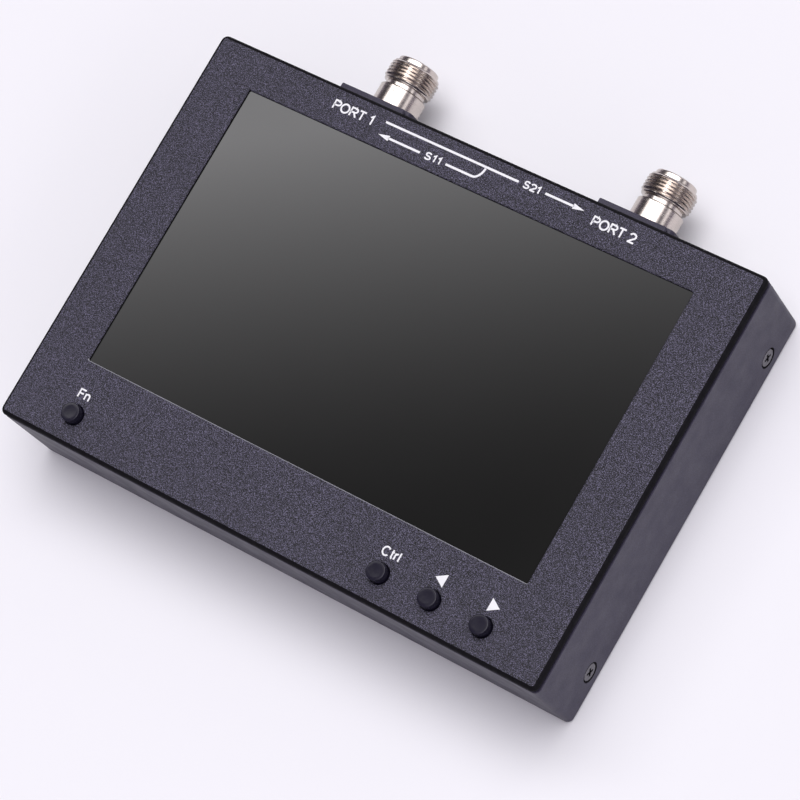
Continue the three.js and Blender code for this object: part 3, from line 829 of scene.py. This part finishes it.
def tray_shell():
    outer = rounded_rectangle(WIDTH, LENGTH, CORNER, (0, CENTRE_Y))
    profile = [(-WALL, TRAY_LOW.z + WALL), (-WALL, RIM), (-0.25, RIM), (0, RIM - 0.25)]
    profile += [(inward, TRAY_LOW.z - down) for inward, down in reversed(quarter(BACK_ROUND))]
    return made(capped, outer, profile)


def countersink(bm, deep):
    """A cutter for one countersunk hole, its mouth at height 0."""
    shank, mouth = SCREW["shank"] + GAP, SCREW["mouth"]
    lathe(bm, [
        (0, -deep),
        (shank, -deep),
        (shank, -SCREW["head_high"] - 0.3),
        (mouth, -0.3),
        (mouth, -0.12),
        (mouth + 0.15, 0.05),
        (mouth + 0.15, 1),
        (0, 1),
    ])
    # painted shade: the countersink's faces take the near-black second material
    paint_recess_shade(bm)


def round_hole(bm, radius, deep, ease=0.2):
    """A cutter for one plain hole, its mouth eased at height 0."""
    wall = [(radius, -deep), (radius, -ease), (radius + ease, 0.02), (radius + ease, 1)]
    lathe(bm, [(0, -deep), *wall, (0, 1)])


def stadium(width, high):
    return rounded_rectangle(width, high, high / 2 - 0.02)


def sideways_prism(bm, outline, low, high):
    """A prism along X, its outline drawn in Y and Z."""
    prism(bm, outline, low, high)
    turn(bm, INTO_WALL)


def flange_holes(build, centre, height, *args):
    """The four cutters near the corners of a connector flange."""
    cutters = []
    for dx in SIDES:
        for dz in SIDES:
            shift = at(dx * FLANGE["hole"], height, dz * FLANGE["hole"])
            cutters.append(placed(build, centre @ shift, *args))
    return cutters


def tray_cutters():
    """Cutters for the screws, connectors, USB port, power switch and charge light."""
    parts = []
    for index in range(1, 5):
        screw = middle(f"side_screw_{index}")
        side = math.copysign(1, screw.x)
        parts.append(placed(countersink, at(side * WIDTH / 2, screw.y, screw.z) @ facing(side), 3))
    for port in PORTS:
        place = middle(f"{port}_connector")
        centre = at(place.x, TOP_WALL, place.z)
        parts.append(placed(round_hole, centre, TAIL["radius"] + GAP, 3, 0.1))
        parts += flange_holes(round_hole, centre, 0, SCREW["shank"] + GAP, 3, 0.1)
    usb = middle("usb_c_receptacle")
    outline = stadium(USB["width"] + 2 * GAP, USB["high"] + 2 * GAP)
    parts.append(placed(sideways_prism, at(LEFT_WALL, usb.y, usb.z), outline, -1, 3))
    switch = middle("power_switch_body")
    slot = rounded_rectangle(2 * SWITCH["reach"], 2 * SWITCH["half"], 0.25, steps=4)
    parts.append(placed(sideways_prism, at(LEFT_WALL, switch.y, switch.z), slot, 0.5, 3))
    led = middle("charge_led_pipe")
    parts.append(placed(round_hole, at(LEFT_WALL, led.y, led.z) @ facing(-1), LED["hole"], 3))
    return parts


def finger_recess(bm):
    """The shallow dished pocket round the power switch, wider at its mouth."""
    flare, deep = RECESS["flare"], RECESS["deep"]
    profile = [(flare, -1), (flare * 2 / 3, -0.02), (flare / 3, 0.35), (0, 0.8), (0, deep)]
    capped(bm, rounded_rectangle(RECESS["long"], RECESS["high"], RECESS["corner"]), profile)
    turn(bm, INTO_WALL)


def port_rails():
    """The low lip in front of each connector flange."""
    top = RIM - RAIL["below_rim"]
    rails = []
    for port in PORTS:
        x = middle(f"{port}_connector").x
        low = (x - RAIL["half"], TOP_WALL - WALL / 2, top - RAIL["thick"])
        high = (x + RAIL["half"], TOP_WALL + RAIL["high"], top)
        rails.append(made(block, low, high, RAIL["edge"]))
    return rails


def tray():
    bm = tray_shell()
    for rail in port_rails():
        bm = boolean(bm, rail, "UNION")
    bm = boolean(bm, merge(bmesh.new(), *tray_cutters()), "DIFFERENCE")
    switch = middle("power_switch_body")
    recess = placed(finger_recess, at(LEFT_WALL, switch.y, switch.z))
    bm = boolean(bm, recess, "DIFFERENCE")
    # the second material is painted shade in the countersinks
    single("tray_shell", bm, "case", ["housing", "edge"], ["rear_housing"])


# ---- keys ----


def key_profile():
    """(radius, height) of a cap, its collar and its stem, above the underside of the panel."""
    top = top_of("button_fn") - PANEL_UNDER
    collar_low = -GAP - KEY["collar_thick"]
    stem_low = collar_low - KEY["stem_long"]
    rounded = [(KEY["radius"] + inward, top + down) for inward, down in reversed(quarter(KEY["edge"], 5))]
    return [
        (0, stem_low),
        (KEY["stem"], stem_low),
        (KEY["stem"], collar_low),
        (KEY["collar"], collar_low),
        (KEY["collar"], -GAP),
        (KEY["radius"], -GAP),
        *rounded,
        (KEY["radius"] * 0.6, top - KEY["dish"] / 2),
        (0, top - KEY["dish"]),
    ]


def keys():
    for key in KEYS:
        place = middle(f"button_{key}")
        upright = at(place.x, place.y, PANEL_UNDER) @ UPRIGHT
        bm = placed(lathe, upright, key_profile(), 64)
        single(f"key_cap_{key}", bm, f"key_{key}", ["key"], [f"button_{key}"])


# ---- screws ----


def cross_arm(angle):
    """One arm of the cross recess, narrower at its foot."""
    long, wide, deep = CROSS["long"] / 2, CROSS["wide"] / 2, CROSS["deep"]
    arm = made(block, (-long, -deep, -wide), (long, 0.4, wide))
    for v in arm.verts:
        if v.co.y < 0:
            v.co.x *= 0.45
            v.co.z *= 0.75
    # painted shade: the cross recess is drawn near-black
    paint_recess_shade(arm)
    turn(arm, Matrix.Rotation(math.radians(angle), 4, "Y"))
    return arm


def screw_mesh():
    """A countersunk screw about +Y, its head face at height 0, with a tapered cross recess."""
    shank, head, foot = SCREW["shank"], SCREW["head"], -SCREW["long"]
    ridges = []
    for index in range(RIDGES["count"]):
        low = foot + 0.3 + index * RIDGES["pitch"]
        ridges += [(shank - RIDGES["deep"], low), (shank, low + RIDGES["pitch"] / 2)]
    bm = made(lathe, [
        (0, foot),
        (shank - 0.4, foot),
        *ridges,
        (shank - 0.1, -SCREW["head_high"]),
        (head, -0.3),
        (head, -0.08),
        (head - 0.1, 0),
        (0, 0),
    ])
    cross = boolean(cross_arm(0), cross_arm(90), "UNION")
    return mesh_of(boolean(bm, cross, "DIFFERENCE"), "countersunk_screw")


def set_screw(node, mesh, place, turned):
    """Puts a screw in place, turned about its own axis by so many degrees."""
    place = place @ Matrix.Rotation(math.radians(turned), 4, "Y")
    metres = Matrix.Translation(place.translation * MM) @ place.to_3x3().to_4x4()
    # the second material is painted shade in the cross recess
    piece(f"{node}_cross_head", mesh, "case", ["screw", "edge"], [node], metres)


def screws():
    mesh = screw_mesh()
    for index in range(1, 5):
        node = f"side_screw_{index}"
        low, high = span(node)
        side = math.copysign(1, low.x)
        head = high.x if side > 0 else low.x
        set_screw(node, mesh, at(head, *middle(node).yz) @ facing(side), TURNED["side"] * index)
    for port in PORTS:
        for index in range(1, 5):
            node = f"{port}_screw_{index}"
            centre = middle(node)
            place = at(centre.x, span(node)[1].y, centre.z)
            set_screw(node, mesh, place, TURNED["flange"] * index)


# ---- connectors ----


def thread_radius(height):
    """Radius round the helix at one height, fading out at both ends of the thread."""
    low = NECK["top"]
    long = THREAD["turns"] * THREAD["pitch"]
    depth = THREAD["crest"] - THREAD["root"]
    fade = min(1, (height - low) / THREAD["pitch"], (low + long - height) / THREAD["pitch"])

    def radius(angle):
        phase = (height / THREAD["pitch"] - angle / (2 * math.pi)) % 1
        blunt_wave = min(1, max(0, 2.4 * abs(phase - 0.5) - 0.1))
        return THREAD["root"] + depth * max(fade, 0) * blunt_wave

    return radius


def thread_profile():
    low = NECK["top"]
    rows = THREAD["turns"] * THREAD["rows"]
    long = THREAD["turns"] * THREAD["pitch"]
    heights = [low + long * row / rows for row in range(rows + 1)]
    return [(thread_radius(height), height) for height in heights]


def connector_mesh():
    """The coaxial body about +Y: tail, barrel, neck, thread and open mouth."""
    neck, top, bore = NECK["top"] - 0.1, MOUTH["top"], MOUTH["bore"]
    thread = thread_profile()
    rim = [(MOUTH["radius"] + inward, top + down) for inward, down in reversed(quarter(MOUTH["edge"], 4))]
    bm = made(lathe, [
        (TAIL["bore"], -TAIL["long"]),
        (TAIL["radius"] - TAIL["edge"], -TAIL["long"]),
        (TAIL["radius"], -TAIL["long"] + TAIL["edge"]),
        (TAIL["radius"], GAP),
        (BARREL["radius"], GAP),
        (BARREL["radius"], BARREL["top"] - BARREL["edge"]),
        (BARREL["radius"] - BARREL["edge"], BARREL["top"]),
        (NECK["radius"], BARREL["top"]),
        (NECK["radius"], neck),
        (THREAD["root"] - 0.5, neck),
        *thread,
        (MOUTH["radius"], thread[-1][1] + 0.1),
        *rim,
        (bore + MOUTH["bore_edge"], top),
        (bore, top - MOUTH["bore_edge"]),
        (bore, top - MOUTH["deep"]),
        (TAIL["bore"], top - MOUTH["deep"]),
    ], FINE, closed=True)
    return mesh_of(bm, "n_connector", 30)


def flange_mesh():
    """The square plate with a hole for the barrel and a countersunk hole near each corner."""
    side = 2 * FLANGE["half"]
    outer_face = GAP + FLANGE["thick"]
    outline = rounded_rectangle(side, side, FLANGE["corner"])
    bm = placed(prism, UPRIGHT.inverted(), outline, GAP, outer_face, FLANGE["edge"])
    tools = [placed(round_hole, at(0, 3, 0), BARREL["radius"] - 0.2, 5, 0)]
    tools += flange_holes(countersink, at(0, 0, 0), outer_face, 4)
    return mesh_of(boolean(bm, merge(bmesh.new(), *tools), "DIFFERENCE"), "connector_flange")


def insulator_mesh():
    """The bead that holds the contact in the middle of the tail."""
    top = MOUTH["top"] - MOUTH["deep"] - GAP
    foot = -TAIL["long"] + GAP
    outer, inner, edge = TAIL["bore"] - GAP, CONTACT["radius"] + GAP, 0.15
    bm = made(lathe, [
        (inner, foot),
        (outer, foot),
        (outer, top - edge),
        (outer - edge, top),
        (inner + edge, top),
        (inner, top - edge),
    ], MEDIUM, closed=True)
    return mesh_of(bm, "bead_insulator")


def finger_slot(tip, along_x):
    """A thin cutter across the socket's end."""
    half, foot = FINGERS["slot"] / 2, tip - FINGERS["long"]
    x, z = (3, half) if along_x else (half, 3)
    return made(block, (-x, foot, -z), (x, tip + 1, z))


def contact_mesh():
    """A slotted socket: four spring fingers round the bore."""
    tip = MOUTH["top"] - CONTACT["below"]
    radius, bore = CONTACT["radius"], CONTACT["socket"]
    floor = tip - CONTACT["deep"]
    bm = made(lathe, [
        (0, -CONTACT["behind"]),
        (radius, -CONTACT["behind"]),
        (radius, tip - 0.25),
        (radius - 0.2, tip),
        (bore + 0.12, tip),
        (bore, tip - 0.15),
        (bore, floor),
        (0, floor - 0.4),
    ])
    slots = boolean(finger_slot(tip, True), finger_slot(tip, False), "UNION")
    return mesh_of(boolean(bm, slots, "DIFFERENCE"), "centre_contact")


def connectors():
    body, flange, bead, contact = connector_mesh(), flange_mesh(), insulator_mesh(), contact_mesh()
    for port in PORTS:
        centre = middle(f"{port}_connector")
        place = Matrix.Translation(Vector((centre.x, TOP_WALL, middle(f"{port}_insulator").z)) * MM)
        piece(f"{port}_threaded_body", body, "case", ["nickel"], [f"{port}_connector"], place)
        piece(f"{port}_flange", flange, "case", ["housing"], (), place)
        piece(f"{port}_bead", bead, "case", ["white"], [f"{port}_insulator"], place)
        piece(f"{port}_socket", contact, "case", ["gold"], [f"{port}_contact"], place)


# ---- left wall fittings ----


def usb_shell():
    """The receptacle's drawn shell, open towards -X."""
    low, high = span("usb_c_receptacle")
    centre = middle("usb_c_receptacle")
    skin, edge = USB["skin"], USB["edge"]
    bm = made(capped, stadium(USB["width"], USB["high"]), [
        (-skin, high.x - USB["back"]),
        (-skin, low.x + edge),
        (-skin + edge, low.x),
        (-edge, low.x),
        (0, low.x + edge),
        (0, high.x),
    ])
    turn(bm, at(0, centre.y, centre.z) @ INTO_WALL)
    single("usb_c_shell", bm, "case", ["steel"], ["usb_c_receptacle"])


def usb_tongue():
    """The contact tongue inside the shell, with a row of pads on both faces."""
    low, high = span("usb_c_receptacle")
    centre = middle("usb_c_receptacle")
    half, thick = TONGUE["long"] / 2, TONGUE["thick"] / 2
    front = (low.x + TONGUE["set_back"], centre.y - half, centre.z - thick)
    back = (high.x - 0.4, centre.y + half, centre.z + thick)
    tongue = made(block, front, back, TONGUE["edge"])
    single("usb_c_tongue", tongue, "case", ["black"])
    pads = bmesh.new()
    wide, proud = PADS["half"], PADS["proud"]
    for index in range(PADS["count"]):
        y = centre.y + (index - (PADS["count"] - 1) / 2) * PADS["pitch"]
        for side in SIDES:
            z = centre.z + side * thick
            starts = (low.x + PADS["starts"], y - wide, z - proud)
            block(pads, starts, (low.x + PADS["ends"], y + wide, z + proud))
    single("usb_c_pads", pads, "case", ["gold"])


def power_slider():
    """The slider, with three grip ridges across its face."""
    low, high = span("power_switch_slider")
    half = GRIP["half"]
    ridges = []
    for index in (-1, 0, 1):
        y = (low.y + high.y) / 2 + index * GRIP["pitch"]
        crest = (low.x - GRIP["high"], y - half, low.z + EASE)
        foot = (low.x + 0.2, y + half, high.z - EASE)
        ridges.append(made(block, crest, foot, 0.08))
    bm = merge(made(block, low, high, EASE), *ridges)
    single("switch_thumb", bm, "power_slider", ["black"], ["power_switch_slider"])


def light_pipe():
    """The charge light's clear pipe, with a low dome at its outer end."""
    low, high = span("charge_led_pipe")
    centre = middle("charge_led_pipe")
    radius, foot = LED["radius"], low.x - high.x
    angles = [math.radians(angle) for angle in range(0, 90, 15)]
    dome = [(radius * math.cos(a), LED["dome"] * math.sin(a) - LED["dome"]) for a in angles]
    place = at(low.x, centre.y, centre.z) @ facing(-1)
    bm = placed(lathe, place, [(0, foot), (radius, foot), *dome, (0, 0)], 32)
    single("led_light_pipe", bm, "case", ["clear"], ["charge_led_pipe"])


# ---- carried-over CAD nodes ----

CARRIED = {
    "glass": ["touch_glass"],
    "black": ["lcd_module", "power_switch_body", *[f"tact_switch_{key}" for key in KEYS]],
    "white": [f"plunger_{key}" for key in KEYS],
    "board": ["main_board", "key_board"],
    "battery": ["battery_pack"],
    "flex": ["display_flex"],
    "braid": [f"{port}_coax" for port in PORTS],
    "steel": [
        "display_bracket",
        "battery_bracket",
        "shield_source",
        *[f"shield_{port}" for port in PORTS],
        *[f"{port}_backing_plate" for port in PORTS],
        *[f"board_screw_{index}" for index in range(1, 5)],
        *[f"key_board_screw_{index}" for index in (1, 2)],
    ],
}


def dress(node, finish):
    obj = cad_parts[node]
    obj.data.materials.clear()
    obj.data.materials.append(FINISH[finish])
    weld = obj.modifiers.new("weld", "WELD")
    weld.merge_threshold = 1e-6
    ease = obj.modifiers.new("ease", "BEVEL")
    ease.width = EASE * MM
    ease.segments = 2
    ease.limit_method = "ANGLE"
    ease.angle_limit = math.radians(50)


def dress_carried_nodes():
    """Real finishes and eased edges on the CAD nodes that still show."""
    for finish, nodes in CARRIED.items():
        for node in nodes:
            dress(node, finish)


# ---- studio ----

CAMERA = {"azimuth": 73.1, "elevation": 62.15, "roll": -44.82, "distance": 1017.8, "lens": 164.37}
AIM = (16.3, -19.7)
SKY = {"ceiling": 0.06, "horizon": 0.24, "fades_from": 0.05, "fades_to": 0.4}
FILL = {"toward": (0.62, -0.62, 0.48), "strength": 0.3, "focus": 3.0}
KEY_LIGHT = {
    "across": (-0.507, 0.862), "starts": 0.33, "step": 0.16, "power": 2.4, "gain": 4.4, "cap": 4.0,
    "ends": 0.75, "end_soft": 0.12, "half_width": 0.7, "side_soft": 0.2,
}
OVERHEAD = {"centre": (0.18, 0.2), "half": (0.44, 0.42), "soft": 0.2, "strength": 3.9}
SIDE_STRIP = {"centre": 27.0, "half": 7.0, "soft": 3.0, "strength": 1.5}
LAMP_COLOUR = (1, 0.985, 1.01, 1)
ROOM_COLOUR = (1, 0.9, 1.16, 1)
FLOOR_SIZE = 30.0


def camera():
    data = bpy.data.cameras.new("camera")
    data.lens = CAMERA["lens"]
    data.sensor_width = 36
    data.clip_end = 100
    obj = linked("camera", data)
    azimuth, elevation = math.radians(CAMERA["azimuth"]), math.radians(CAMERA["elevation"])
    back = Vector((
        math.sin(azimuth) * math.cos(elevation),
        -math.cos(azimuth) * math.cos(elevation),
        math.sin(elevation),
    ))
    roll = Matrix.Rotation(math.radians(CAMERA["roll"]), 4, "Z")
    obj.matrix_world = (
        Matrix.Translation((Vector((*AIM, FRONT)) + back * CAMERA["distance"]) * MM)
        @ (-back).to_track_quat("-Z", "Y").to_matrix().to_4x4()
        @ roll
    )
    bpy.context.scene.camera = obj


def studio_floor():
    bm = bmesh.new()
    bmesh.ops.create_grid(bm, x_segments=1, y_segments=1, size=FLOOR_SIZE / 2)
    mesh = to_mesh(bm, "studio_floor")
    f = Finish("studio_paper", (0.84, 0.835, 0.86))
    f.vary_roughness(f.noise(40), 0.85, 0.95)
    mesh.materials.append(f.done())
    linked("studio_floor", mesh)


def math_node(tree, operation, first, second=None):
    node = tree.nodes.new("ShaderNodeMath")
    node.operation = operation
    for socket, value in zip(node.inputs, (first, second)):
        if isinstance(value, (int, float)):
            socket.default_value = value
        elif value is not None:
            tree.links.new(value, socket)
    return node.outputs[0]


def product(tree, first, second):
    return math_node(tree, "MULTIPLY", first, second)


def smooth(tree, value, starts, ends, low, high):
    """Low below starts, high above ends, and a smooth step between."""
    step = map_range(tree, value, starts, ends, low, high)
    step.interpolation_type = "SMOOTHSTEP"
    return step.outputs["Result"]


def between(tree, value, centre, half, soft):
    """1 where the value is within half of the centre, fading to 0 over soft on either side."""
    away = math_node(tree, "ABSOLUTE", math_node(tree, "SUBTRACT", value, centre))
    return smooth(tree, away, half - soft, half + soft, 1, 0)


def mixed_sum(tree, first, first_share, second, second_share):
    return math_node(tree, "ADD", product(tree, first, first_share), product(tree, second, second_share))


def key_light(tree, x, y):
    """A large softbox, up beyond the ports and to the left, whose near edge fades slowly."""
    ax, ay = KEY_LIGHT["across"]
    along = mixed_sum(tree, x, ax, y, ay)
    sideways = mixed_sum(tree, x, ay, y, -ax)
    rise = math_node(tree, "MAXIMUM", math_node(tree, "SUBTRACT", along, KEY_LIGHT["starts"]), 0)
    grown = math_node(tree, "POWER", product(tree, rise, 1 / KEY_LIGHT["step"]), KEY_LIGHT["power"])
    level = math_node(tree, "MINIMUM", product(tree, grown, KEY_LIGHT["gain"]), KEY_LIGHT["cap"])
    width = between(tree, sideways, 0, KEY_LIGHT["half_width"], KEY_LIGHT["side_soft"])
    length = between(tree, along, 0, KEY_LIGHT["ends"], KEY_LIGHT["end_soft"])
    return product(tree, product(tree, level, width), length)


def overhead_light(tree, x, y):
    """A softbox almost straight above the object."""
    centre, half, soft = OVERHEAD["centre"], OVERHEAD["half"], OVERHEAD["soft"]
    wide = between(tree, x, centre[0], half[0], soft)
    long = between(tree, y, centre[1], half[1], soft)
    return product(tree, product(tree, wide, long), OVERHEAD["strength"])


def side_strip(tree, x, z):
    """A low strip on the right, placed by its height in degrees."""
    height = product(tree, math_node(tree, "ARCSINE", z), 180 / math.pi)
    band = between(tree, height, SIDE_STRIP["centre"], SIDE_STRIP["half"], SIDE_STRIP["soft"])
    to_right = product(tree, band, math_node(tree, "MAXIMUM", x, 0))
    return product(tree, to_right, SIDE_STRIP["strength"])


def room_light(tree, direction, z):
    """A pale surround under a dim ceiling, brighter towards the fill."""
    surround = smooth(tree, z, SKY["fades_from"], SKY["fades_to"], SKY["horizon"], SKY["ceiling"])
    toward = tree.nodes.new("ShaderNodeVectorMath")
    toward.operation = "DOT_PRODUCT"
    tree.links.new(direction, toward.inputs[0])
    toward.inputs[1].default_value = Vector(FILL["toward"]).normalized()
    near = math_node(tree, "MAXIMUM", toward.outputs["Value"], 0)
    fill = product(tree, math_node(tree, "POWER", near, FILL["focus"]), FILL["strength"])
    return math_node(tree, "ADD", surround, fill)


def studio_light():
    """One world of softboxes and room light. Softboxes are drawn on a plane one unit overhead."""
    world = bpy.data.worlds.new("studio")
    bpy.context.scene.world = world
    world.use_nodes = True
    tree = world.node_tree
    direction = tree.nodes.new("ShaderNodeTexCoord").outputs["Generated"]
    split = tree.nodes.new("ShaderNodeSeparateXYZ")
    tree.links.new(direction, split.inputs[0])
    x, y, z = split.outputs
    up = math_node(tree, "MAXIMUM", z, 0.02)
    plan_x = math_node(tree, "DIVIDE", x, up)
    plan_y = math_node(tree, "DIVIDE", y, up)
    boxes = math_node(tree, "ADD", key_light(tree, plan_x, plan_y), overhead_light(tree, plan_x, plan_y))
    lamps = tree.nodes["Background"]
    lamps.inputs["Color"].default_value = LAMP_COLOUR
    tree.links.new(math_node(tree, "ADD", boxes, side_strip(tree, x, z)), lamps.inputs["Strength"])
    room = tree.nodes.new("ShaderNodeBackground")
    room.inputs["Color"].default_value = ROOM_COLOUR
    tree.links.new(room_light(tree, direction, z), room.inputs["Strength"])
    both = tree.nodes.new("ShaderNodeAddShader")
    tree.links.new(lamps.outputs[0], both.inputs[0])
    tree.links.new(room.outputs[0], both.inputs[1])
    tree.links.new(both.outputs[0], tree.nodes["World Output"].inputs["Surface"])


def studio():
    camera()
    studio_floor()
    studio_light()
    bpy.context.scene.view_settings.view_transform = "Standard"


# ---- the object ----

studio()
front_panel()
legends()
tray()
keys()
screws()
connectors()
usb_shell()
usb_tongue()
power_slider()
light_pipe()
dress_carried_nodes()
